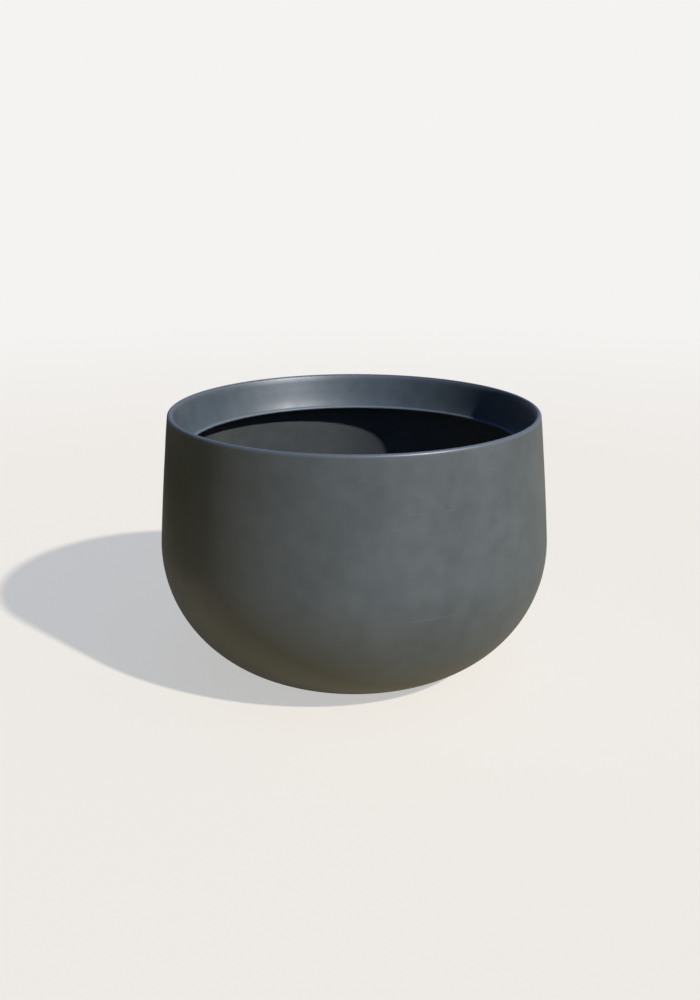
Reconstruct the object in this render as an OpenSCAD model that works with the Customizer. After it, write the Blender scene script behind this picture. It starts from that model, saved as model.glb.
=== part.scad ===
// Round resin planter: a moulded bowl with a full-round lip, a sloping inner collar bonded under
// the lip, a rubber drain plug and four rubber pads. The origin is on the floor at the centre.

/* [Bowl] */
// Largest diameter of the bowl
body_d = 600; // [570:5:640]
// Height from the floor to the crest of the lip
body_h = 400; // [370:5:440]
// Diameter of the lip, measured along its crest
crest_d = 556; // [540:2:564]
// Radius of the round belly
belly_r = 200; // [185:5:215]
// Radius of the long, nearly straight curve of the side
side_r = 4700; // [3000:100:9000]
// Thickness of the wall
wall_t = 6; // [4:0.5:8]

/* [Lip] */
// Rounding of the lip towards the outside
lip_outer_r = 4.2; // [3:0.2:7]
// Rounding of the lip towards the inside
lip_inner_r = 2.8; // [2:0.2:5]

/* [Base] */
// Diameter of the flat underside
base_d = 320; // [280:5:350]
// Rounding between the belly and the underside
heel_r = 30; // [15:1:45]
// Thickness of the base at its rim
base_t = 8; // [7:0.5:12]
// How far the floor of the bowl falls towards the drain
drain_fall = 1.5; // [0.5:0.1:2]

/* [Collar] */
// Diameter of the opening inside the collar
collar_d = 510; // [490:2:520]
// Depth of the collar below the crest of the lip
collar_depth = 57; // [42:1:70]
// Thickness of the collar
collar_t = 3.5; // [3:0.25:5]
// How much the radius of the rolled lower edge exceeds half the collar's thickness
collar_roll = 0.5; // [0.25:0.05:1]
// Length of the collar that laps the rim of the bowl
collar_lap = 13; // [9:0.5:19]
// Depth of the resin that fills the groove behind the collar
bond_depth = 7; // [4:0.5:12]

/* [Drain] */
// Diameter of the drain hole
drain_d = 25; // [16:1:32]
// Width of the seat around the drain hole
seat_w = 9.5; // [7:0.5:14]
// Depth of the seat in the floor of the bowl
seat_depth = 2.5; // [1.5:0.1:3]
// Thickness of the plug's flange
flange_t = 3.5; // [3:0.1:5]
// How far the plug reaches below the underside of the base
plug_drop = 1; // [0.5:0.1:2]
// Diameter of the neck under the plug's knob
neck_d = 11; // [8:0.5:14]
// Height of the neck
neck_h = 6; // [4:0.5:9]
// How far the knob stands out beyond the neck
knob_lip = 4.5; // [3.5:0.1:6]
// Height of the knob
knob_h = 8; // [6:0.5:10]

/* [Pads] */
// Diameter of a foot pad
pad_d = 36; // [28:1:44]
// Height of a foot pad, which is the gap under the base
pad_h = 4; // [3:0.5:6]
// Distance from the rim of the flat underside to the edge of a pad
pad_inset = 17; // [5:1:40]
// Rounding of a pad's lower edge
pad_edge_r = 1; // [0.5:0.1:1.5]

/* [Clearances] */
// Gap between two bonded curved faces
bond_gap = 0.2; // [0.1:0.05:0.4]
// Gap around the plug's shank in the drain hole
plug_fit = 0.1; // [0.05:0.01:0.3]
// Gap around and under the plug's flange in its seat
seat_gap = 0.3; // [0.2:0.05:0.5]

/* [Hidden] */
pad_count = 4;

// Largest turn between two points of an arc, in degrees: body, long side curve and small edges
arc_step = 3;
side_step = 0.5;
edge_step = 12;
$fn = 180;

// A point at a distance from a centre, in a direction given in degrees
function polar(centre, radius, angle) = centre + radius * [cos(angle), sin(angle)];

// Points of an arc from one direction to another
function arc(centre, radius, from, to, step = arc_step) =
    let (n = max(2, ceil(abs(to - from) / step)))
    [for (i = [0:n]) polar(centre, radius, from + (to - from) * i / n)];

// Direction from one point to another, in degrees
function heading(from, to) = atan2(to[1] - from[1], to[0] - from[0]);

// Centre of the circle that lies at two given distances from two points, left of the way up
function meeting(low, low_dist, high, high_dist) =
    let (
        span = norm(high - low),
        along = (span + (low_dist * low_dist - high_dist * high_dist) / span) / 2,
        aside = sqrt(low_dist * low_dist - along * along),
        up = (high - low) / span
    )
    low + along * up + aside * [-up[1], up[0]];

// All outlines are drawn as radius and height, and turned about the vertical axis.

// Outside of the bowl: lip, side, belly and heel are arcs, each tangent to the next
base_z = pad_h;
belly_x = body_d / 2 - belly_r;
heel_z = base_z + heel_r;
belly_z = heel_z + sqrt(pow(belly_r - heel_r, 2) - pow(base_d / 2 - belly_x, 2));
belly = [belly_x, belly_z];
heel = [base_d / 2, heel_z];
lip_outer = [crest_d / 2, body_h - lip_outer_r];
lip_inner = [crest_d / 2, body_h - lip_inner_r];
side = meeting(belly, side_r - belly_r, lip_outer, side_r - lip_outer_r);
side_low = heading(side, belly);
side_high = heading(side, lip_outer);
heel_high = heading(belly, heel);

// Inside of the bowl: the same side and belly, a wall inwards, and a heel on the thicker base
inner_side_r = side_r - wall_t;
inner_belly_r = belly_r - wall_t;
floor_z = base_z + base_t;
inner_heel_z = floor_z + heel_r;
inner_heel = [
    belly_x + sqrt(pow(inner_belly_r - heel_r, 2) - pow(belly_z - inner_heel_z, 2)),
    inner_heel_z
];
inner_heel_high = heading(belly, inner_heel);

// Radius of the inner face of the side at a height
function inner_side(z) = side[0] + sqrt(pow(inner_side_r, 2) - pow(z - side[1], 2));

// Collar: its face is the straight line that touches the lip's inner rounding and the rolled edge
roll_r = collar_t / 2 + collar_roll;
roll = [collar_d / 2 + roll_r, body_h - collar_depth + roll_r];
face_dir = heading(roll, lip_inner) + acos((roll_r - lip_inner_r) / norm(lip_inner - roll));
face_n = [cos(face_dir), sin(face_dir)];
face_down = [-sin(face_dir), cos(face_dir)];
face_top = polar(lip_inner, lip_inner_r, face_dir);
back_top = face_top - collar_t * face_n;
roll_turn = 360 - acos((roll_r - collar_t) / roll_r);

// Rim of the bowl behind the collar: a land that the collar laps, ending in a level ledge
land_top = back_top - bond_gap * face_n;
land_low = land_top + collar_lap * face_down;
ledge_z = land_low[1];
ledge_dir = heading(side, [inner_side(ledge_z), ledge_z]);

// Drain: the plug's seat is sunk into the lowest part of the floor
drain_z = floor_z - drain_fall;
seat_z = drain_z - seat_depth;
seat_r = drain_d / 2 + seat_w;

module turned(outline) {
    rotate_extrude() polygon(outline);
}

module bowl_shell() {
    color("#4b4e50") turned(concat(
        [[drain_d / 2, base_z]],
        arc(heel, heel_r, -90, heel_high),
        arc(belly, belly_r, heel_high, 0),
        arc(belly, belly_r, 0, side_low),
        arc(side, side_r, side_low, side_high, side_step),
        arc(lip_outer, lip_outer_r, side_high, 90, edge_step),
        arc(lip_inner, lip_inner_r, 90, face_dir, edge_step),
        [land_top, land_low],
        arc(side, inner_side_r, ledge_dir, side_low, side_step),
        arc(belly, inner_belly_r, side_low, inner_heel_high),
        arc(inner_heel, heel_r, inner_heel_high, -90),
        [[seat_r, drain_z], [seat_r, seat_z], [drain_d / 2, seat_z]]
    ));
}

module rim_collar() {
    color("#5a5f66") turned(concat(
        [back_top + bond_gap * face_down, face_top + bond_gap * face_down],
        arc(roll, roll_r, face_dir, face_dir + roll_turn, edge_step)
    ));
}

// Resin that was poured into the groove between the collar and the wall, and set level
module collar_bond() {
    top_z = ledge_z - bond_gap;
    low_z = top_z - bond_depth;
    back_slope = face_down[0] / face_down[1];
    color("#8a8f86") turned([
        [land_low[0] + (top_z - ledge_z) * back_slope, top_z],
        [inner_side(top_z) - bond_gap, top_z],
        [inner_side(low_z) - bond_gap, low_z],
        [land_low[0] + (low_z - ledge_z) * back_slope, low_z]
    ]);
}

module drain_plug() {
    shank_r = drain_d / 2 - plug_fit;
    flange_r = seat_r - seat_gap;
    flange_z = seat_z + seat_gap;
    flange_top = flange_z + flange_t;
    flange_edge = flange_t / 2;
    knob_z = flange_top + neck_h;
    knob_edge = min(knob_h / 2, knob_lip);
    knob_x = neck_d / 2 + knob_lip - knob_edge;
    color("#1d1e1f") turned(concat(
        [
            [0, base_z - plug_drop],
            [shank_r - plug_drop, base_z - plug_drop],
            [shank_r, base_z],
            [shank_r, flange_z],
            [flange_r, flange_z]
        ],
        arc([flange_r - flange_edge, flange_top - flange_edge], flange_edge, 0, 90, edge_step),
        [[neck_d / 2, flange_top], [neck_d / 2, knob_z]],
        arc([knob_x, knob_z + knob_edge], knob_edge, -90, 0, edge_step),
        arc([knob_x, knob_z + knob_h - knob_edge], knob_edge, 0, 90, edge_step),
        [[0, knob_z + knob_h]]
    ));
}

// A pad is glued under the flat underside, and the first one stands at an eighth of a turn
module foot_pad(i) {
    reach = base_d / 2 - pad_inset - pad_d / 2;
    color("#232425") rotate((i - 0.5) * 360 / pad_count) translate([reach, 0, 0]) turned(concat(
        [[0, 0]],
        arc([pad_d / 2 - pad_edge_r, pad_edge_r], pad_edge_r, -90, 0, edge_step),
        [[pad_d / 2, pad_h], [0, pad_h]]
    ));
}

bowl_shell();
rim_collar();
collar_bond();
drain_plug();
for (i = [1:pad_count])
    foot_pad(i);
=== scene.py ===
import math

import bmesh
import bpy
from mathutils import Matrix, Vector


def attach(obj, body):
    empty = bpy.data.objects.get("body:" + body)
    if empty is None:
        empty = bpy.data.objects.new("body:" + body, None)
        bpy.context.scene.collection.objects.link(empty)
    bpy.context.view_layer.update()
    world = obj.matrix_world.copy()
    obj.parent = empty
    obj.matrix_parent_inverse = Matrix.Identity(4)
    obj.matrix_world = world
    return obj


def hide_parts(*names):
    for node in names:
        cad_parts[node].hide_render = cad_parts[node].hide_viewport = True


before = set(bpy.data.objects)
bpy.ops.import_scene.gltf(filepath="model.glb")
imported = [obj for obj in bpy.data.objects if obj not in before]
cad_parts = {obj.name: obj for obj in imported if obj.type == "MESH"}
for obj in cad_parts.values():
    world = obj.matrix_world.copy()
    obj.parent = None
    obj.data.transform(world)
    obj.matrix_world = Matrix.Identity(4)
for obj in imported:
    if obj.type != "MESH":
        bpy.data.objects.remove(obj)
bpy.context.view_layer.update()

mm = 0.001  # sizes below are in millimetres, as on the drawing


def linear(hexColour):
    channels = [int(hexColour[i:i + 2], 16) / 255 for i in (1, 3, 5)]
    return [c / 12.92 if c <= 0.04045 else ((c + 0.055) / 1.055) ** 2.4 for c in channels] + [1]


# Colour sockets of a Mix node, whose names repeat: two inputs and the result
mixA, mixB, mixOut = 6, 7, 2


def addNode(tree, kind, settings=None, inputs=None, links=None):
    node = tree.nodes.new(kind)
    for name, value in (settings or {}).items():
        setattr(node, name, value)
    for name, value in (inputs or {}).items():
        node.inputs[name].default_value = value
    for name, source in (links or {}).items():
        tree.links.new(source, node.inputs[name])
    return node


# Outlines are lists of (radius, height), later turned about the vertical axis

def polar(centre, radius, angle):
    return (centre[0] + radius * math.cos(angle), centre[1] + radius * math.sin(angle))


def arc(centre, radius, start, end, step):
    # at least three steps, however short the arc
    count = max(3, math.ceil(abs(end - start) / math.radians(step)))
    return [polar(centre, radius, start + (end - start) * i / count) for i in range(count + 1)]


def heading(start, end):
    return math.atan2(end[1] - start[1], end[0] - start[0])


def meeting(low, lowReach, high, highReach):
    # the point at two given reaches from two points, on the left of the way up
    span = math.dist(low, high)
    along = (span + (lowReach ** 2 - highReach ** 2) / span) / 2
    aside = math.sqrt(lowReach ** 2 - along ** 2)
    ux, uz = (high[0] - low[0]) / span, (high[1] - low[1]) / span
    return (low[0] + along * ux - aside * uz, low[1] + along * uz + aside * ux)


def towards(start, end, reach):
    # the point at a reach from the start, but never as far as the middle
    mostShare = 0.45
    share = min(mostShare, reach / math.dist(start, end))
    return tuple(start[i] + (end[i] - start[i]) * share for i in (0, 1))


def softCorner(before, corner, after, size):
    # a small rounding in place of a sharp corner, with a guard point on either side that keeps the
    # shading of the long faces beside it true
    a, b = towards(corner, before, size), towards(corner, after, size)
    bend = [
        tuple((1 - t) ** 2 * a[i] + 2 * t * (1 - t) * corner[i] + t * t * b[i] for i in (0, 1))
        for t in (0, 0.3, 0.7, 1)
    ]
    guards = [towards(corner, end, 2 * size) for end in (before, after)]
    return [guards[0]] + bend + [guards[1]]


def softened(points, sizes):
    # sizes gives the rounding of some of the points, by their place in the list
    made = []
    for i, point in enumerate(points):
        if i in sizes:
            after = points[(i + 1) % len(points)]
            made += softCorner(points[i - 1], point, after, sizes[i])
        else:
            made.append(point)
    return made


def newGroup(name, kind, wanted, result):
    # a node group with its named inputs and its one output
    group = bpy.data.node_groups.new(name, kind)
    for label, sort in wanted:
        group.interface.new_socket(label, in_out="INPUT", socket_type="NodeSocket" + sort)
    label, sort = result
    group.interface.new_socket(label, in_out="OUTPUT", socket_type="NodeSocket" + sort)
    return group, addNode(group, "NodeGroupInput").outputs


# How every outline is turned into a piece. Lengths are in metres here, as in the trees
turning = {
    "sweepRadius": 1.0,  # the outline sweeps round this circle, and is drawn this much further in
    "readRadius": 0.28,  # where waves are read
    "waveDetail": 1.5, "waveRoughness": 0.45,
    "noWaves": 0.1,  # wave size of a piece without waves, since the tree divides by it
    "insideAbove": 0.99,  # value of the attribute from which a face has the inner finish
    "mergeWithin": 1e-5, "doublesWithin": 1e-6,
    "sharpAngle": 38,  # in degrees
}


def makeTurnTree():
    # turns an outline about the vertical axis, with the slight waves of a hand-laid moulding
    tree, given = newGroup("turnOutline", "GeometryNodeTree", (
        ("Outline", "Geometry"), ("Steps Around", "Int"), ("Inset", "Float"),
        ("Wave Height", "Float"), ("Wave Size", "Float"), ("Calm Above", "Float"),
        ("Calm Within", "Float"), ("Calm Band", "Float"), ("Seed", "Float"),
        ("Outer Finish", "Material"), ("Inner Finish", "Material"),
    ), ("Geometry", "Geometry"))

    outline = addNode(tree, "GeometryNodeMeshToCurve", links={"Mesh": given["Outline"]})
    circle = addNode(tree, "GeometryNodeCurvePrimitiveCircle", {"mode": "RADIUS"},
                     {"Radius": turning["sweepRadius"]}, {"Resolution": given["Steps Around"]})
    upright = addNode(tree, "GeometryNodeSetCurveNormal", {"mode": "Z_UP"},
                      links={"Curve": circle.outputs["Curve"]})
    swept = addNode(tree, "GeometryNodeCurveToMesh", links={
        "Curve": upright.outputs["Curve"], "Profile Curve": outline.outputs["Curve"]})

    # waves are read at one radius, so that both faces of a wall move together
    place = addNode(tree, "GeometryNodeInputPosition").outputs["Position"]
    level = addNode(tree, "ShaderNodeVectorMath", {"operation": "MULTIPLY"}, {1: (1, 1, 0)},
                    {0: place})
    outward = addNode(tree, "ShaderNodeVectorMath", {"operation": "NORMALIZE"},
                      links={0: level.outputs["Vector"]}).outputs["Vector"]
    ring = addNode(tree, "ShaderNodeVectorMath", {"operation": "SCALE"},
                   {"Scale": turning["readRadius"]}, {0: outward})
    split = addNode(tree, "ShaderNodeSeparateXYZ", links={0: place})
    lifted = addNode(tree, "ShaderNodeCombineXYZ", links={"Z": split.outputs["Z"]})
    readAt = addNode(tree, "ShaderNodeVectorMath", {"operation": "ADD"},
                     links={0: ring.outputs["Vector"], 1: lifted.outputs["Vector"]})
    perMetre = addNode(tree, "ShaderNodeMath", {"operation": "DIVIDE"}, {0: 1.0},
                       {1: given["Wave Size"]})
    noise = addNode(tree, "ShaderNodeTexNoise", {"noise_dimensions": "4D"},
                    {"Detail": turning["waveDetail"], "Roughness": turning["waveRoughness"]},
                    {"Vector": readAt.outputs["Vector"], "W": given["Seed"],
                     "Scale": perMetre.outputs["Value"]})

    # waves fade out above a height, and towards the middle, where the drain holds its plug
    calmEnd = addNode(tree, "ShaderNodeMath", {"operation": "ADD"},
                      links={0: given["Calm Above"], 1: given["Calm Band"]})
    calm = addNode(tree, "ShaderNodeMapRange", {"interpolation_type": "SMOOTHSTEP"},
                   {"To Min": 1.0, "To Max": 0.0},
                   {"Value": split.outputs["Z"], "From Min": given["Calm Above"],
                    "From Max": calmEnd.outputs["Value"]})
    radius = addNode(tree, "ShaderNodeVectorMath", {"operation": "LENGTH"},
                     links={0: level.outputs["Vector"]})
    wavesFrom = addNode(tree, "ShaderNodeMath", {"operation": "ADD"},
                        links={0: given["Calm Within"], 1: given["Calm Band"]})
    outside = addNode(tree, "ShaderNodeMapRange", {"interpolation_type": "SMOOTHSTEP"},
                      links={"Value": radius.outputs["Value"], "From Min": given["Calm Within"],
                             "From Max": wavesFrom.outputs["Value"]})
    share = addNode(tree, "ShaderNodeMath", {"operation": "MULTIPLY"},
                    links={0: calm.outputs["Result"], 1: outside.outputs["Result"]})

    # waves only go inwards, so that the piece stays inside its solid's box
    wave = addNode(tree, "ShaderNodeMath", {"operation": "MULTIPLY_ADD"},
                   links={0: noise.outputs["Fac"], 1: given["Wave Height"], 2: given["Inset"]})
    inward = addNode(tree, "ShaderNodeMath", {"operation": "MULTIPLY"},
                     links={0: wave.outputs["Value"], 1: share.outputs["Value"]})
    back = addNode(tree, "ShaderNodeMath", {"operation": "MULTIPLY"}, {1: -1.0},
                   {0: inward.outputs["Value"]})
    offset = addNode(tree, "ShaderNodeVectorMath", {"operation": "SCALE"},
                     links={0: outward, "Scale": back.outputs["Value"]})
    moved = addNode(tree, "GeometryNodeSetPosition", links={
        "Geometry": swept.outputs["Mesh"], "Offset": offset.outputs["Vector"]})
    merged = addNode(tree, "GeometryNodeMergeByDistance",
                     inputs={"Distance": turning["mergeWithin"]},
                     links={"Geometry": moved.outputs["Geometry"]})
    real = addNode(tree, "GeometryNodeRealizeInstances",
                   links={"Geometry": merged.outputs["Geometry"]})
    outer = addNode(tree, "GeometryNodeSetMaterial", links={
        "Geometry": real.outputs["Geometry"], "Material": given["Outer Finish"]})
    mark = addNode(tree, "GeometryNodeInputNamedAttribute", {"data_type": "FLOAT"},
                   {"Name": "inside"})
    isInside = addNode(tree, "FunctionNodeCompare",
                       {"data_type": "FLOAT", "operation": "GREATER_THAN"},
                       {"B": turning["insideAbove"]}, {"A": mark.outputs["Attribute"]})
    inner = addNode(tree, "GeometryNodeSetMaterial", links={
        "Geometry": outer.outputs["Geometry"], "Selection": isInside.outputs["Result"],
        "Material": given["Inner Finish"]})
    addNode(tree, "NodeGroupOutput", links={"Geometry": inner.outputs["Geometry"]})
    return tree


def makePadTree(turnTree):
    # stands turned pads at equal angles on a circle under the base
    tree, given = newGroup("padsOnCircle", "GeometryNodeTree", (
        ("Outline", "Geometry"), ("Steps Around", "Int"), ("Pad Count", "Int"),
        ("Circle Radius", "Float"), ("First Angle", "Float"), ("Finish", "Material"),
    ), ("Geometry", "Geometry"))
    pad = addNode(tree, "GeometryNodeGroup", {"node_tree": turnTree},
                  {"Wave Size": turning["noWaves"]},
                  {"Outline": given["Outline"], "Steps Around": given["Steps Around"],
                   "Outer Finish": given["Finish"], "Inner Finish": given["Finish"]})
    circle = addNode(tree, "GeometryNodeMeshCircle", {"fill_type": "NONE"}, links={
        "Vertices": given["Pad Count"], "Radius": given["Circle Radius"]})
    turn = addNode(tree, "ShaderNodeCombineXYZ", links={"Z": given["First Angle"]})
    placed = addNode(tree, "GeometryNodeTransform", links={
        "Geometry": circle.outputs["Mesh"], "Rotation": turn.outputs["Vector"]})
    spread = addNode(tree, "GeometryNodeInstanceOnPoints", links={
        "Points": placed.outputs["Geometry"], "Instance": pad.outputs["Geometry"]})
    real = addNode(tree, "GeometryNodeRealizeInstances", links={
        "Geometry": spread.outputs["Instances"]})
    finish = addNode(tree, "GeometryNodeSetMaterial", links={
        "Geometry": real.outputs["Geometry"], "Material": given["Finish"]})
    addNode(tree, "NodeGroupOutput", links={"Geometry": finish.outputs["Geometry"]})
    return tree


def outlineObject(name, points, closed, insideFrom=None):
    # points from insideFrom to the last are marked, and the faces between them are the inside
    mesh = bpy.data.meshes.new(name + "Outline")
    count = len(points)
    edges = [(i, (i + 1) % count) for i in range(count if closed else count - 1)]
    shift = turning["sweepRadius"]
    mesh.from_pydata([(x * mm - shift, -z * mm, 0) for x, z in points], edges, [])
    inside = mesh.attributes.new("inside", "FLOAT", "POINT")
    for i in range(count if insideFrom is None else insideFrom, count):
        inside.data[i].value = 1
    piece = bpy.data.objects.new(name, mesh)
    bpy.context.scene.collection.objects.link(piece)
    return piece


def runTree(piece, tree, values):
    # the tree's result becomes the piece's plain mesh, smooth apart from its sharp edges
    modifier = piece.modifiers.new("shape", "NODES")
    modifier.node_group = tree
    sockets = {s.name: s.identifier for s in tree.interface.items_tree if s.in_out == "INPUT"}
    for name, value in values.items():
        modifier[sockets[name]] = value
    depsgraph = bpy.context.evaluated_depsgraph_get()
    made = bpy.data.meshes.new_from_object(piece.evaluated_get(depsgraph))
    piece.modifiers.clear()
    piece.data = made
    shell = bmesh.new()
    shell.from_mesh(made)
    bmesh.ops.remove_doubles(shell, verts=shell.verts, dist=turning["doublesWithin"])
    bmesh.ops.recalc_face_normals(shell, faces=shell.faces)
    for face in shell.faces:
        face.smooth = True
    openEdges = 0
    for edge in shell.edges:
        if len(edge.link_faces) == 2:
            edge.smooth = edge.calc_face_angle(0) < math.radians(turning["sharpAngle"])
        else:
            openEdges += 1
    volume = shell.calc_volume(signed=True)
    shell.to_mesh(made)
    shell.free()
    print("made", piece.name, len(made.polygons), "faces,", openEdges, "open edges, litres",
          round(volume * 1000, 4))


def waveValues(sizes):
    # what the turning tree is given about a piece's steps and waves
    return {
        "Steps Around": sizes["stepsAround"], "Wave Height": sizes["waveHeight"] * mm,
        "Wave Size": sizes["waveSize"] * mm, "Calm Above": sizes["calmAbove"] * mm,
        "Calm Band": sizes["calmBand"] * mm, "Seed": sizes["seed"],
    }


# Sizes of the bowl, collar and pads, from which the shared outlines below are worked out. A step
# is the most that an arc turns between two points, in degrees, but stepsAround and faceSteps are
# counts. Waves are in millimetres too
bowlSizes = {
    "bodyDiameter": 600, "bodyHeight": 400, "crestDiameter": 556,
    "bellyRadius": 200, "sideRadius": 4700, "wall": 6,
    "lipOuterRadius": 4.2, "lipInnerRadius": 2.8,
    "baseDiameter": 320, "heelRadius": 30, "baseThickness": 8, "drainFall": 1.5,
    "drainDiameter": 25, "seatWidth": 9.5, "seatDepth": 2.5, "cutEdge": 0.6, "seatEdge": 0.3,
    "inset": 0.12, "waveHeight": 0.35, "waveSize": 150, "seed": 3.0,
    "calmAbove": 340, "calmWithin": 25, "calmBand": 30,
    "stepsAround": 360, "heelStep": 2, "bellyStep": 1.2, "sideStep": 0.1,
    "lipOuterStep": 7, "lipInnerStep": 8, "innerBellyStep": 1.5, "innerHeelStep": 3,
}
collarSizes = {
    "openingDiameter": 510, "depth": 57, "thickness": 3.5, "roll": 0.5, "lap": 13,
    "seam": 0.2, "seamEdge": 0.3,
    "waveHeight": 0.25, "waveSize": 70, "seed": 11.0, "calmAbove": 372, "calmBand": 12,
    "stepsAround": 360, "faceSteps": 80, "rollStep": 8,
    # lean of the face from upright in degrees, at shares of the way down
    "leans": ((0, 35), (0.08, 25), (0.18, 15.4), (0.47, 15.2), (0.71, 18.5), (0.9, 25),
              (0.95, 28), (0.965, 47), (1, 54)),
}
padSizes = {
    "diameter": 36, "height": 4, "inset": 17, "edge": 1, "count": 4,
    "dieCut": 0.25,  # how far the die's cut edge is hollow
    "hollow": ((1, 0.55), (0.6, 0.85)),  # shares of that, at shares of the height
    "stepsAround": 72, "edgeStep": 15,
}

b, c = bowlSizes, collarSizes
baseZ = padSizes["height"]
bellyX = b["bodyDiameter"] / 2 - b["bellyRadius"]
heelZ = baseZ + b["heelRadius"]
bellyZ = heelZ + math.sqrt((b["bellyRadius"] - b["heelRadius"]) ** 2
                           - (b["baseDiameter"] / 2 - bellyX) ** 2)
belly = (bellyX, bellyZ)
heel = (b["baseDiameter"] / 2, heelZ)
lipOuter = (b["crestDiameter"] / 2, b["bodyHeight"] - b["lipOuterRadius"])
lipInner = (b["crestDiameter"] / 2, b["bodyHeight"] - b["lipInnerRadius"])
side = meeting(belly, b["sideRadius"] - b["bellyRadius"], lipOuter,
               b["sideRadius"] - b["lipOuterRadius"])
sideLow, sideHigh = heading(side, belly), heading(side, lipOuter)
heelHigh = heading(belly, heel)
innerSideRadius = b["sideRadius"] - b["wall"]
innerBellyRadius = b["bellyRadius"] - b["wall"]
floorZ = baseZ + b["baseThickness"]
innerHeelZ = floorZ + b["heelRadius"]
innerHeel = (bellyX + math.sqrt((innerBellyRadius - b["heelRadius"]) ** 2
                                - (bellyZ - innerHeelZ) ** 2), innerHeelZ)
innerHeelHigh = heading(belly, innerHeel)


def innerSide(z):
    return side[0] + math.sqrt(innerSideRadius ** 2 - (z - side[1]) ** 2)


# The collar's face touches both the lip's inner rounding and the rolled edge
rollRadius = c["thickness"] / 2 + c["roll"]
roll = (c["openingDiameter"] / 2 + rollRadius, b["bodyHeight"] - c["depth"] + rollRadius)
faceTurn = heading(roll, lipInner) + math.acos(
    (rollRadius - b["lipInnerRadius"]) / math.dist(lipInner, roll))
faceOut = (math.cos(faceTurn), math.sin(faceTurn))
faceDown = (-math.sin(faceTurn), math.cos(faceTurn))


def slid(point, outBy, downBy):
    return tuple(point[i] + outBy * faceOut[i] + downBy * faceDown[i] for i in (0, 1))


topTurn = math.pi - math.radians(c["leans"][0][1])
faceTop = polar(lipInner, b["lipInnerRadius"], topTurn)
backTop = slid(polar(lipInner, b["lipInnerRadius"], faceTurn), -c["thickness"], 0)
landTop = slid(backTop, -c["seam"], 0)
landLow = slid(landTop, 0, c["lap"])
ledgeZ = landLow[1]
ledgeTurn = heading(side, (innerSide(ledgeZ), ledgeZ))
drainZ = floorZ - b["drainFall"]
seatZ = drainZ - b["seatDepth"]
drainR = b["drainDiameter"] / 2
seatR = drainR + b["seatWidth"]

turnTree = makeTurnTree()
padTree = makePadTree(turnTree)
print("outlines worked out, trees built")


# Materials

def newMaterial(name):
    material = bpy.data.materials.new(name)
    material.use_nodes = True
    tree = material.node_tree
    tree.nodes.clear()
    shader = addNode(tree, "ShaderNodeBsdfPrincipled")
    addNode(tree, "ShaderNodeOutputMaterial", links={"Surface": shader.outputs["BSDF"]})
    coords = addNode(tree, "ShaderNodeTexCoord").outputs["Object"]
    return material, tree, shader, coords


def addNoise(tree, coords, size, detail=2.0, roughness=0.5):
    # a noise whose features are about size millimetres across
    return addNode(tree, "ShaderNodeTexNoise",
                   inputs={"Scale": 1 / (size * mm), "Detail": detail, "Roughness": roughness},
                   links={"Vector": coords}).outputs["Fac"]


# A noise seldom leaves its middle, so this much of it spans the colours, and this the roughness
toneLow, toneHigh = 0.35, 0.65
roughLow, roughHigh = 0.3, 0.7

markShape = {
    "wallRadius": 0.29,  # metres, where its length round the bowl is measured
    "fadeFrom": 0.4,  # share of the half length from which its ends fade
}


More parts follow.
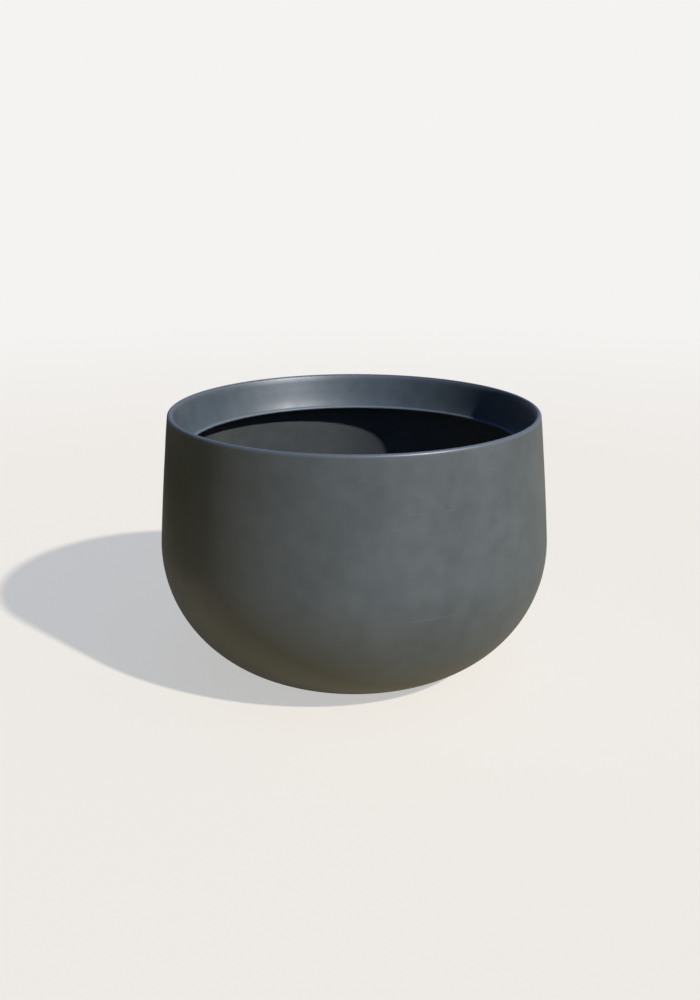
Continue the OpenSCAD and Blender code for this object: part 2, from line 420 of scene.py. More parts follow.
def makeMarkGroup():
    # one fine mark on the outer wall: its place round the bowl and its height, length and width
    names = ("Turn", "Height", "Half Length", "Half Width", "Tilt", "Bow")
    group, given = newGroup("markOnWall", "ShaderNodeTree", [("Vector", "Vector")] + [
        (name, "Float") for name in names], ("Mask", "Float"))
    place = addNode(group, "ShaderNodeSeparateXYZ", links={0: given["Vector"]}).outputs
    front = addNode(group, "ShaderNodeMath", {"operation": "MULTIPLY"}, {1: -1.0}, {0: place["Y"]})
    turn = addNode(group, "ShaderNodeMath", {"operation": "ARCTAN2"},
                   links={0: place["X"], 1: front.outputs[0]})
    fromMark = addNode(group, "ShaderNodeMath", {"operation": "SUBTRACT"},
                       links={0: turn.outputs[0], 1: given["Turn"]})
    around = addNode(group, "ShaderNodeMath", {"operation": "MULTIPLY"},
                     {1: markShape["wallRadius"]}, {0: fromMark.outputs[0]})
    rise = addNode(group, "ShaderNodeMath", {"operation": "SUBTRACT"},
                   links={0: place["Z"], 1: given["Height"]})
    flat = addNode(group, "ShaderNodeCombineXYZ",
                   links={"X": around.outputs[0], "Y": rise.outputs[0]})
    back = addNode(group, "ShaderNodeMath", {"operation": "MULTIPLY"}, {1: -1.0},
                   {0: given["Tilt"]})
    turned = addNode(group, "ShaderNodeVectorRotate", {"rotation_type": "Z_AXIS"},
                     links={"Vector": flat.outputs[0], "Angle": back.outputs[0]})
    own = addNode(group, "ShaderNodeSeparateXYZ", links={0: turned.outputs[0]}).outputs
    along = addNode(group, "ShaderNodeMath", {"operation": "DIVIDE"},
                    links={0: own["X"], 1: given["Half Length"]})
    far = addNode(group, "ShaderNodeMath", {"operation": "ABSOLUTE"}, links={0: along.outputs[0]})
    square = addNode(group, "ShaderNodeMath", {"operation": "POWER"}, {1: 2.0}, {0: far.outputs[0]})
    bend = addNode(group, "ShaderNodeMath", {"operation": "MULTIPLY"},
                   links={0: square.outputs[0], 1: given["Bow"]})
    off = addNode(group, "ShaderNodeMath", {"operation": "SUBTRACT"},
                  links={0: own["Y"], 1: bend.outputs[0]})
    offset = addNode(group, "ShaderNodeMath", {"operation": "ABSOLUTE"}, links={0: off.outputs[0]})
    across = addNode(group, "ShaderNodeMapRange", {"interpolation_type": "SMOOTHSTEP"},
                     {"To Min": 1.0, "To Max": 0.0},
                     {"Value": offset.outputs[0], "From Max": given["Half Width"]})
    ends = addNode(group, "ShaderNodeMapRange", {"interpolation_type": "SMOOTHSTEP"},
                   {"From Min": markShape["fadeFrom"], "To Min": 1.0, "To Max": 0.0},
                   {"Value": far.outputs[0]})
    mask = addNode(group, "ShaderNodeMath", {"operation": "MULTIPLY"},
                   links={0: across.outputs[0], 1: ends.outputs[0]})
    addNode(group, "NodeGroupOutput", links={"Mask": mask.outputs[0]})
    return group


# Polyester gel coat, pigmented anthracite and sprayed into the mould: satin, nearly smooth, with
# faint clouds in the pigment and a fine orange peel that breaks the highlight
gelCoatLook = {
    "dark": "#4d565b", "light": "#5a6368", "scuff": "#7b7e80",
    "roughness": (0.5, 0.56), "ior": 1.5, "specular": 0.9,
    "cloudSize": 90, "blotchSize": 22, "blotchShare": 0.35,
    "peelSize": 5,  # real orange peel is 2 to 3 mm, drawn coarser so that it shows
    "peelDepth": 0.02, "waveSize": 38, "waveDepth": 0.16,
    # rim is the crest's colour with a painted sky reflection in it, paler and bluer than the coat
    "rim": "#656d77", "rimFrom": (394.0, 398.5), "rimRoughness": 0.43, "rimSpecular": 1.0,
}
# The collar's coat is a little smoother, and its lower edge is painted paler: a painted highlight
# where the rolled edge catches the light
collarCoatLook = {
    **gelCoatLook,
    "dark": "#475259", "light": "#545f66", "roughness": (0.47, 0.53), "specular": 0.92,
    # edge is a painted highlight along the rolled lower edge, not wear
    "cloudSize": 60, "waveDepth": 0.2, "edge": "#6a757d", "edgeHighlightFrom": (347.2, 348.6),
}
# Scuffs: turn from the front in degrees, height, length and half width in millimetres, tilt in
# degrees, bow in millimetres, and how much of the scuff's colour shows
wallMarks = [
    (20.1, 171.5, 108, 0.9, 1.1, 0.9, 0.5),
    (17.5, 319.0, 38, 0.8, -5.0, 0.3, 0.35),
    (26.1, 318.8, 19, 0.8, 5.0, 0.2, 0.35),
    (23.7, 325.0, 11, 0.7, 88.0, 0.0, 0.3),
    (-24.2, 326.0, 11, 0.7, 92.0, 0.0, 0.3),
    (-7.6, 264.9, 4, 1.2, 40.0, 0.0, 0.7),
    (-14.1, 213.2, 4, 1.1, 0.0, 0.0, 0.6),
]


def makeGelCoat(name, look, marks=()):
    material, tree, shader, coords = newMaterial(name)
    cloud = addNoise(tree, coords, look["cloudSize"], detail=3)
    blotch = addNoise(tree, coords, look["blotchSize"])
    both = addNode(tree, "ShaderNodeMix", {"data_type": "FLOAT"},
                   {"Factor": look["blotchShare"]}, {"A": cloud, "B": blotch}).outputs["Result"]
    tone = addNode(tree, "ShaderNodeMapRange", inputs={"From Min": toneLow, "From Max": toneHigh},
                   links={"Value": both}).outputs["Result"]
    colour = addNode(tree, "ShaderNodeMix", {"data_type": "RGBA"}, {
        mixA: linear(look["dark"]), mixB: linear(look["light"])}, {0: tone}).outputs[mixOut]
    worn = None
    if marks:
        group = makeMarkGroup()
        for turn, height, length, halfWidth, tilt, bow, shown in marks:
            mark = addNode(tree, "ShaderNodeGroup", {"node_tree": group}, {
                "Turn": math.radians(turn), "Height": height * mm, "Half Length": length / 2 * mm,
                "Half Width": halfWidth * mm, "Tilt": math.radians(tilt), "Bow": bow * mm,
            }, {"Vector": coords}).outputs["Mask"]
            scaled = addNode(tree, "ShaderNodeMath", {"operation": "MULTIPLY"}, {1: shown},
                             {0: mark})
            worn = scaled.outputs[0] if worn is None else addNode(
                tree, "ShaderNodeMath", {"operation": "MAXIMUM"},
                links={0: worn, 1: scaled.outputs[0]}).outputs[0]
        colour = addNode(tree, "ShaderNodeMix", {"data_type": "RGBA"},
                         {mixB: linear(look["scuff"])},
                         {0: worn, mixA: colour}).outputs[mixOut]
    # the crest of the rim is handled most, so it is smoother, and its paler, bluer colour is a
    # painted sky reflection
    height = addNode(tree, "ShaderNodeSeparateXYZ", links={0: coords}).outputs["Z"]
    rimLow, rimHigh = look["rimFrom"]
    rubbedAndSheen = addNode(tree, "ShaderNodeMapRange", {"interpolation_type": "SMOOTHSTEP"}, {
        "From Min": rimLow * mm, "From Max": rimHigh * mm}, {"Value": height}).outputs["Result"]
    colour = addNode(tree, "ShaderNodeMix", {"data_type": "RGBA"}, {mixB: linear(look["rim"])},
                     {0: rubbedAndSheen, mixA: colour}).outputs[mixOut]
    if "edge" in look:
        # a painted highlight along a lower edge, from the upper of these heights down to the lower
        edgeLow, edgeHigh = look["edgeHighlightFrom"]
        paintedEdgeHighlight = addNode(tree, "ShaderNodeMapRange", {"interpolation_type": "SMOOTHSTEP"},
                         {"From Min": edgeHigh * mm, "From Max": edgeLow * mm},
                         {"Value": height}).outputs["Result"]
        colour = addNode(tree, "ShaderNodeMix", {"data_type": "RGBA"}, {mixB: linear(look["edge"])},
                         {0: paintedEdgeHighlight, mixA: colour}).outputs[mixOut]
    tree.links.new(colour, shader.inputs["Base Color"])
    low, high = look["roughness"]
    rough = addNode(tree, "ShaderNodeMapRange", inputs={
        "From Min": roughLow, "From Max": roughHigh, "To Min": low, "To Max": high,
    }, links={"Value": blotch})
    smoother = addNode(tree, "ShaderNodeMix", {"data_type": "FLOAT"}, {"B": look["rimRoughness"]},
                       {"Factor": rubbedAndSheen, "A": rough.outputs["Result"]})
    tree.links.new(smoother.outputs["Result"], shader.inputs["Roughness"])
    wave = addNode(tree, "ShaderNodeBump", inputs={"Distance": look["waveDepth"] * mm},
                   links={"Height": addNoise(tree, coords, look["waveSize"], detail=1)})
    peel = addNode(tree, "ShaderNodeBump", inputs={"Distance": look["peelDepth"] * mm},
                   links={"Height": addNoise(tree, coords, look["peelSize"], detail=1),
                          "Normal": wave.outputs["Normal"]})
    tree.links.new(peel.outputs["Normal"], shader.inputs["Normal"])
    shader.inputs["IOR"].default_value = look["ior"]
    gloss = addNode(tree, "ShaderNodeMix", {"data_type": "FLOAT"}, {
        "A": look["specular"], "B": look["rimSpecular"]}, {"Factor": rubbedAndSheen}).outputs["Result"]
    tree.links.new(gloss, shader.inputs["Specular IOR Level"])
    return material


shellFinish = makeGelCoat("anthraciteGelCoat", gelCoatLook, wallMarks)
collarFinish = makeGelCoat("collarGelCoat", collarCoatLook)


# Flow coat over glass-fibre mat, rolled on by hand inside the bowl: the same pigment, duller, with
# the mat's fibres just showing through
flowCoatLook = {
    "dark": "#484c4c", "light": "#545857", "roughness": (0.5, 0.62),
    "cloudSize": 70, "fibreLength": 30, "fibreWidth": 2.4,  # real fibres are 0.5 mm across
    "fibreDepth": 0.12,
    # three lays of chopped strands, turned about x, y and z in degrees
    "lays": ((25, 17.5, 32.5), (80, 56, 104), (140, 98, 182)),
}


def makeFlowCoat(name, look):
    material, tree, shader, coords = newMaterial(name)
    cloud = addNoise(tree, coords, look["cloudSize"], detail=4, roughness=0.6)
    tone = addNode(tree, "ShaderNodeMapRange", inputs={"From Min": toneLow, "From Max": toneHigh},
                   links={"Value": cloud}).outputs["Result"]
    colour = addNode(tree, "ShaderNodeMix", {"data_type": "RGBA"}, {
        mixA: linear(look["dark"]), mixB: linear(look["light"])}, {0: tone}).outputs[mixOut]
    tree.links.new(colour, shader.inputs["Base Color"])
    low, high = look["roughness"]
    rough = addNode(tree, "ShaderNodeMapRange", inputs={
        "From Min": roughLow, "From Max": roughHigh, "To Min": low, "To Max": high,
    }, links={"Value": cloud})
    tree.links.new(rough.outputs["Result"], shader.inputs["Roughness"])
    fibres = None
    perLength, perWidth = 1 / (look["fibreLength"] * mm), 1 / (look["fibreWidth"] * mm)
    for lay in look["lays"]:
        laid = addNode(tree, "ShaderNodeMapping", inputs={
            "Rotation": [math.radians(turn) for turn in lay],
            "Scale": (perLength, perWidth, perWidth)}, links={"Vector": coords})
        strand = addNode(tree, "ShaderNodeTexNoise", inputs={"Scale": 1.0, "Detail": 1.0},
                         links={"Vector": laid.outputs["Vector"]}).outputs["Fac"]
        fibres = strand if fibres is None else addNode(
            tree, "ShaderNodeMath", {"operation": "MAXIMUM"},
            links={0: fibres, 1: strand}).outputs[0]
    bump = addNode(tree, "ShaderNodeBump", inputs={"Distance": look["fibreDepth"] * mm},
                   links={"Height": fibres})
    tree.links.new(bump.outputs["Normal"], shader.inputs["Normal"])
    return material


flowCoat = makeFlowCoat("innerFlowCoat", flowCoatLook)


# Thickened polyester, poured and cured: glossier than the coat, greenish grey, with small bubbles
bondLook = {
    "dark": "#646a60", "light": "#737a6e", "cloudSize": 25, "roughness": 0.3,
    "bubbleSize": 5, "bubbleDepth": 0.3,
    "pitEdge": (0.05, 0.25),  # from a pit's bottom to its rim, in shares of the bubble's size
}


def makeBondingResin(name, look):
    material, tree, shader, coords = newMaterial(name)
    cloud = addNoise(tree, coords, look["cloudSize"], detail=3)
    colour = addNode(tree, "ShaderNodeMix", {"data_type": "RGBA"}, {
        mixA: linear(look["dark"]), mixB: linear(look["light"])}, {0: cloud}).outputs[mixOut]
    tree.links.new(colour, shader.inputs["Base Color"])
    bubbles = addNode(tree, "ShaderNodeTexVoronoi", inputs={"Scale": 1 / (look["bubbleSize"] * mm)},
                      links={"Vector": coords})
    bottom, rim = look["pitEdge"]
    pits = addNode(tree, "ShaderNodeMapRange", {"interpolation_type": "SMOOTHSTEP"},
                   {"From Min": bottom, "From Max": rim}, {"Value": bubbles.outputs["Distance"]})
    bump = addNode(tree, "ShaderNodeBump", inputs={"Distance": look["bubbleDepth"] * mm},
                   links={"Height": pits.outputs["Result"]})
    tree.links.new(bump.outputs["Normal"], shader.inputs["Normal"])
    shader.inputs["Roughness"].default_value = look["roughness"]
    return material


bondFinish = makeBondingResin("pouredResin", bondLook)


# Black rubber, moulded for the plug and die-cut for the pads: dull, fine-grained, with a pale bloom
rubberLook = {
    "black": "#1d1e1f", "bloom": "#3a3b3c", "roughness": (0.62, 0.78), "grainSize": 1.6,
    "grainDepth": 0.08, "bloomSize": 14,
    "bloomFrom": (0.42, 0.75), "bloomMost": 0.6,  # part of the noise that blooms, and how much
}


def makeRubber(name, look):
    material, tree, shader, coords = newMaterial(name)
    patches = addNoise(tree, coords, look["bloomSize"], detail=4, roughness=0.65)
    bloomLow, bloomHigh = look["bloomFrom"]
    dusty = addNode(tree, "ShaderNodeMapRange", inputs={
        "From Min": bloomLow, "From Max": bloomHigh, "To Max": look["bloomMost"],
    }, links={"Value": patches}).outputs["Result"]
    colour = addNode(tree, "ShaderNodeMix", {"data_type": "RGBA"}, {
        mixA: linear(look["black"]), mixB: linear(look["bloom"])}, {0: dusty}).outputs[mixOut]
    tree.links.new(colour, shader.inputs["Base Color"])
    low, high = look["roughness"]
    rough = addNode(tree, "ShaderNodeMapRange", inputs={"To Min": low, "To Max": high},
                    links={"Value": patches})
    tree.links.new(rough.outputs["Result"], shader.inputs["Roughness"])
    bump = addNode(tree, "ShaderNodeBump", inputs={"Distance": look["grainDepth"] * mm},
                   links={"Height": addNoise(tree, coords, look["grainSize"])})
    tree.links.new(bump.outputs["Normal"], shader.inputs["Normal"])
    return material


plugFinish = makeRubber("mouldedRubber", rubberLook)
padFinish = makeRubber("dieCutRubber", {**rubberLook, "black": "#232425", "grainSize": 2.2})
print("materials made")


# Bowl: outside from the drain up to the lip, then the land, the ledge and the inside
bowlStart = [(drainR, baseZ)]
bowlOuter = (
    arc(heel, b["heelRadius"], -math.pi / 2, heelHigh, b["heelStep"])
    + arc(belly, b["bellyRadius"], heelHigh, 0, b["bellyStep"])[1:]
    + arc(belly, b["bellyRadius"], 0, sideLow, b["bellyStep"])[1:]
    + arc(side, b["sideRadius"], sideLow, sideHigh, b["sideStep"])[1:]
    + arc(lipOuter, b["lipOuterRadius"], sideHigh, math.pi / 2, b["lipOuterStep"])[1:]
    + arc(lipInner, b["lipInnerRadius"], math.pi / 2, topTurn, b["lipInnerStep"])[1:]
)
bowlLand = [landTop, landLow]
bowlInner = (
    arc(side, innerSideRadius, ledgeTurn, sideLow, b["sideStep"])
    + arc(belly, innerBellyRadius, sideLow, innerHeelHigh, b["innerBellyStep"])[1:]
    + arc(innerHeel, b["heelRadius"], innerHeelHigh, -math.pi / 2, b["innerHeelStep"])[1:]
    + [(seatR, drainZ), (seatR, seatZ), (drainR, seatZ)]
)
bowlPoints = bowlStart + bowlOuter + bowlLand + bowlInner
last = len(bowlPoints) - 1
cut = b["cutEdge"]
bowlPoints = softened(bowlPoints, {0: cut, last - 2: cut, last - 1: b["seatEdge"], last: cut})
softExtra = 5  # the points that the rounding of the first corner adds
firstInner = len(bowlStart) + softExtra + len(bowlOuter) + len(bowlLand)
bowl = outlineObject("bowlShell", bowlPoints, True, firstInner)
runTree(bowl, turnTree, {
    **waveValues(b), "Inset": b["inset"] * mm, "Calm Within": b["calmWithin"] * mm,
    "Outer Finish": shellFinish, "Inner Finish": flowCoat,
})
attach(bowl, "planter")
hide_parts("bowl_shell")


# Collar: a straight back, and a face that bends a little between the lip and its rolled edge

def bentFace(start, end, leans, steps):
    points = [(0.0, 0.0)]
    for i in range(steps):
        share = (i + 0.5) / steps
        after = next(k for k, (s, _) in enumerate(leans) if s >= share)
        (s0, a0), (s1, a1) = leans[after - 1], leans[after]
        lean = math.radians(a0 + (a1 - a0) * (share - s0) / (s1 - s0))
        points.append((points[-1][0] - math.sin(lean), points[-1][1] - math.cos(lean)))
    # then turned and stretched to run from the start to the end
    turn = heading(start, end) - heading(points[0], points[-1])
    size = math.dist(start, end) / math.dist(points[0], points[-1])
    ct, st = size * math.cos(turn), size * math.sin(turn)
    return [(start[0] + x * ct - z * st, start[1] + x * st + z * ct) for x, z in points]


flareTurn = math.pi - math.radians(c["leans"][-1][1])
backTurn = faceTurn + 2 * math.pi - math.acos((rollRadius - c["thickness"]) / rollRadius)
rollPoints = arc(roll, rollRadius, flareTurn, backTurn, c["rollStep"])
seamPoint = slid(faceTop, 0, c["seam"])
collarFace = bentFace(seamPoint, rollPoints[0], c["leans"], c["faceSteps"])[1:-1]
collarPoints = softened([slid(backTop, 0, c["seam"]), seamPoint] + collarFace + rollPoints,
                        {0: c["seamEdge"], 1: c["seamEdge"]})
collar = outlineObject("rimCollar", collarPoints, True)
runTree(collar, turnTree, {
    **waveValues(c), "Outer Finish": collarFinish, "Inner Finish": collarFinish})
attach(collar, "planter")
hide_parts("rim_collar")

# Bonding resin in the groove behind the collar, its free face hollow between the walls
bondSizes = {
    "depth": 7, "gap": 0.2, "meniscus": 1.4, "meniscusSteps": 10,
    "waveHeight": 0.2, "waveSize": 30, "seed": 5.0, "calmAbove": 377, "calmBand": 2,
    "stepsAround": 240,
}
s = bondSizes
bondTop = ledgeZ - s["gap"]
bondLow = bondTop - s["depth"]
backSlope = faceDown[0] / faceDown[1]
bondInner = [landLow[0] + (z - ledgeZ) * backSlope for z in (bondTop, bondLow)]
bondOuter = [innerSide(z) - s["gap"] for z in (bondTop, bondLow)]
steps, half = s["meniscusSteps"], s["meniscusSteps"] / 2
bondPoints = [(bondInner[0], bondTop), (bondOuter[0], bondTop)] + [
    (bondOuter[1] + (bondInner[1] - bondOuter[1]) * i / steps,
     bondLow + s["meniscus"] * (1 - (abs(i - half) / half) ** 3)) for i in range(steps + 1)]
bond = outlineObject("collarBond", bondPoints, True)
runTree(bond, turnTree, {
    **waveValues(s), "Outer Finish": bondFinish, "Inner Finish": bondFinish})
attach(bond, "planter")
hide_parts("collar_bond")

# Plug: shank, flange with two raised rings, neck, and a knob with the mould's flash line
plugSizes = {
    "fit": 0.1, "seatGap": 0.3, "flange": 3.5, "flangeSoft": 0.4, "drop": 1,
    "neckDiameter": 11, "neck": 6, "knobLip": 4.5, "knob": 8,
    "fillet": ((1, 0), (0.3, 0.3), (0, 1)),  # outwards and upwards, at the foot of the neck
    "dimple": ((3.4, 0), (3.0, 0.5), (0, 0.6)),  # radius and depth, in the top of the knob
    "ringRadii": (16.5, 11.5), "ringHeight": 0.35, "ringFoot": 0.9, "ringTop": 0.6,
    "flashLine": 0.25, "flashHalf": 0.12, "flashTurn": 0.09,  # the last in radians
    "stepsAround": 96, "flangeStep": 15, "knobStep": 12,
}
p = plugSizes
shankR = drainR - p["fit"]
flangeR = seatR - p["seatGap"]
flangeZ = seatZ + p["seatGap"]
flangeTop = flangeZ + p["flange"]
flangeEdge, soft = p["flange"] / 2, p["flangeSoft"]
neckR = p["neckDiameter"] / 2
knobZ = flangeTop + p["neck"]
knobTop = knobZ + p["knob"]
knobEdge = min(p["knob"] / 2, p["knobLip"])
knobX = neckR + p["knobLip"] - knobEdge
flashR = knobX + knobEdge + p["flashLine"]
flashTurn = p["flashTurn"]


def raisedRing(radius, z):
    foot, top, rise = p["ringFoot"], p["ringTop"], p["ringHeight"]
    return [(radius + foot, z), (radius + top, z + rise), (radius - top, z + rise),
            (radius - foot, z)]


plugPoints = (
    [(0, baseZ - p["drop"]), (shankR - p["drop"], baseZ - p["drop"]), (shankR, baseZ),
     (shankR, flangeZ), (flangeR - soft, flangeZ), (flangeR, flangeZ + soft)]
    + arc((flangeR - flangeEdge, flangeTop - flangeEdge), flangeEdge, 0, math.pi / 2,
          p["flangeStep"])
    + [point for radius in p["ringRadii"] for point in raisedRing(radius, flangeTop)]
    + [(neckR + out, flangeTop + up) for out, up in p["fillet"]] + [(neckR, knobZ)]
    + arc((knobX, knobZ + knobEdge), knobEdge, -math.pi / 2, -flashTurn, p["knobStep"])
    + [(flashR, knobZ + knobEdge + z) for z in (-p["flashHalf"], p["flashHalf"])]
    + arc((knobX, knobTop - knobEdge), knobEdge, flashTurn, math.pi / 2, p["knobStep"])
    + [(radius, knobTop - depth) for radius, depth in p["dimple"]]
)
plug = outlineObject("drainPlug", plugPoints, False)
runTree(plug, turnTree, {
    "Steps Around": p["stepsAround"], "Wave Size": turning["noWaves"],
    "Outer Finish": plugFinish, "Inner Finish": plugFinish,
})
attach(plug, "plug")
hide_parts("drain_plug")

# Pads: the die leaves the cut edge slightly hollow
d = padSizes
padR = d["diameter"] / 2
padPoints = (
    [(0, 0)] + arc((padR - d["edge"], d["edge"]), d["edge"], -math.pi / 2, 0, d["edgeStep"])
    + [(padR - d["dieCut"] * deep, d["height"] * up) for deep, up in d["hollow"]]
    + [(padR, d["height"]), (0, d["height"])]
)
pads = outlineObject("footPads", padPoints, False)
runTree(pads, padTree, {
    "Steps Around": d["stepsAround"], "Pad Count": d["count"],
    "Circle Radius": (b["baseDiameter"] / 2 - d["inset"] - padR) * mm,
    "First Angle": math.pi / d["count"], "Finish": padFinish,
})
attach(pads, "planter")
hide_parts(*[f"foot_pad_{i + 1}" for i in range(d["count"])])
print("pieces made and placed")


# Stage: a pale floor that fades into a pale backdrop, warm light off the ground, blue from above
stageLook = {
    "floor": "#b9b0a1", "floorGlow": 0.56, "backdrop": "#f4f3f1", "fade": (0.9, 4.0),
    "floorReach": 40, "floorLevel": -0.0003,  # metres: how far it goes, just clear of the pads
    "bounce": "#b1995b", "sky": "#7aa5f2", "ground": "#b29e6c", "skyTop": 0.4,
    "warmSide": (1, 0.3, 0), "warmFrom": 0.3,
    "glossShare": 0.36, "dropTop": (0.0, 0.12),  # what reflections see of the backdrop
    "keyLevel": 1.04, "keyAngle": 2.0, "keyFrom": (0.6, -0.503, 0.623),
    "flag": "#4d5142", "flagPlace": (-0.8, (-0.3, 1.4), 0.36),  # x, from y to y, height
    # bright sides of the sky: direction, where the side begins, and its least and most light
    "fillFrom": [((0.6, -0.503, 0.623), 0.2, 0.01, 0.42), ((0.1, 0.95, 0.15), 0.45, 0.0, 0.68)],
    "fillFull": 0.95,  # how squarely a direction meets a side to have its most light
}


def shareSeen(tree, glossPart=None):
    # the pale stage is seen whole by camera and transmission rays, and in part by glossy rays, so
    # that the dark coat keeps its dark edges
    paths = addNode(tree, "ShaderNodeLightPath").outputs
    glossy = addNode(tree, "ShaderNodeMath", {"operation": "MULTIPLY"},
                     {1: stageLook["glossShare"]}, {0: paths["Is Glossy Ray"]})
    if glossPart is not None:
        glossy = addNode(tree, "ShaderNodeMath", {"operation": "MULTIPLY"},
                         links={0: glossy.outputs[0], 1: glossPart})
    first = addNode(tree, "ShaderNodeMath", {"operation": "MAXIMUM"}, links={
        0: paths["Is Camera Ray"], 1: glossy.outputs[0]})
    return addNode(tree, "ShaderNodeMath", {"operation": "MAXIMUM"}, links={
        0: first.outputs[0], 1: paths["Is Transmission Ray"]}).outputs[0]


floorMesh = bpy.data.meshes.new("studioFloor")
reach, floorLevel = stageLook["floorReach"], stageLook["floorLevel"]
corners = ((-reach, -reach), (reach, -reach), (reach, reach), (-reach, reach))
floorMesh.from_pydata([(x, y, floorLevel) for x, y in corners], [], [(0, 1, 2, 3)])
studioFloor = bpy.data.objects.new("studioFloor", floorMesh)
bpy.context.scene.collection.objects.link(studioFloor)

floorPaint = bpy.data.materials.new("matFloorPaint")
floorPaint.use_nodes = True
tree = floorPaint.node_tree
tree.nodes.clear()
bounce = addNode(tree, "ShaderNodeBsdfDiffuse", inputs={"Color": linear(stageLook["bounce"])})
paint = addNode(tree, "ShaderNodeBsdfDiffuse", inputs={"Color": linear(stageLook["floor"])})
glow = addNode(tree, "ShaderNodeEmission", inputs={
    "Color": linear(stageLook["backdrop"]), "Strength": stageLook["floorGlow"]})
both = addNode(tree, "ShaderNodeAddShader", links={
    0: paint.outputs["BSDF"], 1: glow.outputs["Emission"]})
fromCentre = addNode(tree, "ShaderNodeVectorMath", {"operation": "LENGTH"}, links={
    0: addNode(tree, "ShaderNodeTexCoord").outputs["Object"]})
fadeStart, fadeEnd = stageLook["fade"]
away = addNode(tree, "ShaderNodeMapRange", {"interpolation_type": "SMOOTHSTEP"},
               {"From Min": fadeStart, "From Max": fadeEnd}, {"Value": fromCentre.outputs["Value"]})
cove = addNode(tree, "ShaderNodeEmission", inputs={"Color": linear(stageLook["backdrop"])})
pale = addNode(tree, "ShaderNodeMixShader", links={
    0: away.outputs["Result"], 1: both.outputs["Shader"], 2: cove.outputs["Emission"]})
mixed = addNode(tree, "ShaderNodeMixShader", links={
    0: shareSeen(tree), 1: bounce.outputs["BSDF"], 2: pale.outputs["Shader"]})
addNode(tree, "ShaderNodeOutputMaterial", links={"Surface": mixed.outputs["Shader"]})
floorMesh.materials.append(floorPaint)

world = bpy.data.worlds.new("studio")
bpy.context.scene.world = world
world.use_nodes = True
tree = world.node_tree
tree.nodes.clear()
direction = addNode(tree, "ShaderNodeTexCoord").outputs["Generated"]
split = addNode(tree, "ShaderNodeSeparateXYZ", links={0: direction}).outputs
upward = addNode(tree, "ShaderNodeMapRange", inputs={"From Max": stageLook["skyTop"]},
                 links={"Value": split["Z"]}).outputs["Result"]
fill = addNode(tree, "ShaderNodeMix", {"data_type": "RGBA"}, {
    mixA: linear(stageLook["ground"]), mixB: linear(stageLook["sky"])}, {0: upward}).outputs[mixOut]
fromWarmSide = addNode(tree, "ShaderNodeVectorMath", {"operation": "DOT_PRODUCT"},
                       {1: Vector(stageLook["warmSide"]).normalized()},
                       {0: direction}).outputs["Value"]
warmth = addNode(tree, "ShaderNodeMapRange", {"interpolation_type": "SMOOTHSTEP"},
                 {"From Min": stageLook["warmFrom"]}, {"Value": fromWarmSide}).outputs["Result"]
fill = addNode(tree, "ShaderNodeMix", {"data_type": "RGBA"}, {mixB: linear(stageLook["ground"])},
               {0: warmth, mixA: fill}).outputs[mixOut]
level = None
for brightSide, spread, least, most in stageLook["fillFrom"]:  # the sky isn't even
    facing = addNode(tree, "ShaderNodeVectorMath", {"operation": "DOT_PRODUCT"},
                     {1: Vector(brightSide).normalized()}, {0: direction}).outputs["Value"]
    lobe = addNode(tree, "ShaderNodeMapRange", {"interpolation_type": "SMOOTHSTEP"}, {
        "From Min": spread, "From Max": stageLook["fillFull"], "To Min": least, "To Max": most,
    }, {"Value": facing}).outputs["Result"]
    level = lobe if level is None else addNode(
        tree, "ShaderNodeMath", {"operation": "ADD"}, links={0: level, 1: lobe}).outputs[0]
ambient = addNode(tree, "ShaderNodeBackground", links={"Color": fill, "Strength": level})
surround = addNode(tree, "ShaderNodeBackground", inputs={
    "Color": linear(stageLook["backdrop"]), "Strength": 1.0})
# the backdrop stands only so high: reflections above it show the dim ceiling
dropFrom, dropTo = stageLook["dropTop"]
drop = addNode(tree, "ShaderNodeMapRange", {"interpolation_type": "SMOOTHSTEP"}, {
    "From Min": dropFrom, "From Max": dropTo, "To Min": 1.0, "To Max": 0.0,
}, {"Value": split["Z"]}).outputs["Result"]
mixed = addNode(tree, "ShaderNodeMixShader", links={
    0: shareSeen(tree, drop), 1: ambient.outputs["Background"],
    2: surround.outputs["Background"]})
addNode(tree, "ShaderNodeOutputWorld", links={"Surface": mixed.outputs["Shader"]})

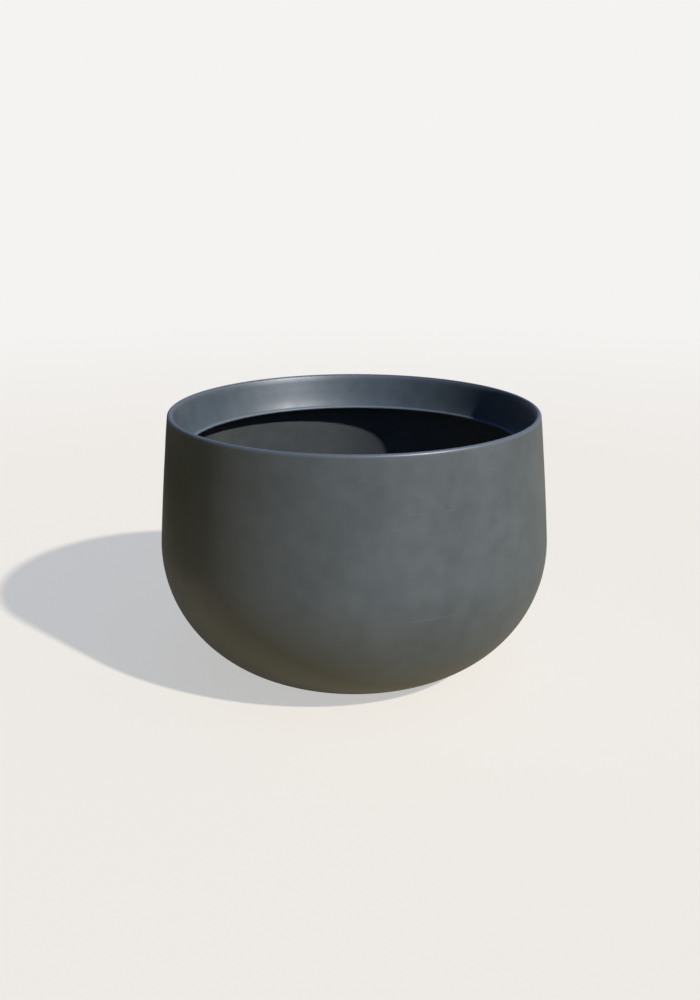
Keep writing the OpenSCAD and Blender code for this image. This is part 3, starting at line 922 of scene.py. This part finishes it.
# a dark card on the left, out of the camera's sight, as photographers use to keep a dark edge dark
x, (y0, y1), z1 = stageLook["flagPlace"]
flagMesh = bpy.data.meshes.new("darkFlag")
flagMesh.from_pydata([(x, y0, 0), (x, y1, 0), (x, y1, z1), (x, y0, z1)], [], [(0, 1, 2, 3)])
darkFlag = bpy.data.objects.new("darkFlag", flagMesh)
bpy.context.scene.collection.objects.link(darkFlag)
darkFlag.visible_camera = darkFlag.visible_shadow = darkFlag.visible_diffuse = False
felt = bpy.data.materials.new("blackFelt")
felt.use_nodes = True
felt.node_tree.nodes.clear()
nap = addNode(felt.node_tree, "ShaderNodeBsdfDiffuse", inputs={"Color": linear(stageLook["flag"])})
addNode(felt.node_tree, "ShaderNodeOutputMaterial", links={"Surface": nap.outputs["BSDF"]})
flagMesh.materials.append(felt)

key = bpy.data.objects.new("keyLamp", bpy.data.lights.new("keyLamp", "SUN"))
key.data.energy = math.pi * stageLook["keyLevel"]  # a white card facing it renders at this level
key.data.angle = math.radians(stageLook["keyAngle"])
key.rotation_mode = "QUATERNION"
key.rotation_quaternion = Vector(stageLook["keyFrom"]).to_track_quat("Z", "Y")
bpy.context.scene.collection.objects.link(key)

# Camera: found by fitting the outline of the photograph
cameraSetup = {
    "place": (0, -1.6631, 0.7649), "target": (0, 0, 0.2533), "lens": 40.1, "sensor": 36,
    "shiftX": -0.0042, "clip": (0.05, 200),
}
camera = bpy.data.objects.new("camera", bpy.data.cameras.new("camera"))
camera.data.lens = cameraSetup["lens"]
camera.data.sensor_width = cameraSetup["sensor"]
camera.data.shift_x = cameraSetup["shiftX"]
camera.location = cameraSetup["place"]
toTarget = Vector(cameraSetup["target"]) - Vector(cameraSetup["place"])
camera.rotation_mode = "QUATERNION"
camera.rotation_quaternion = toTarget.to_track_quat("-Z", "Y")
camera.data.clip_start, camera.data.clip_end = cameraSetup["clip"]
bpy.context.scene.collection.objects.link(camera)
bpy.context.scene.camera = camera
bpy.context.scene.view_settings.view_transform = "Standard"
print("stage, lamps and camera set")
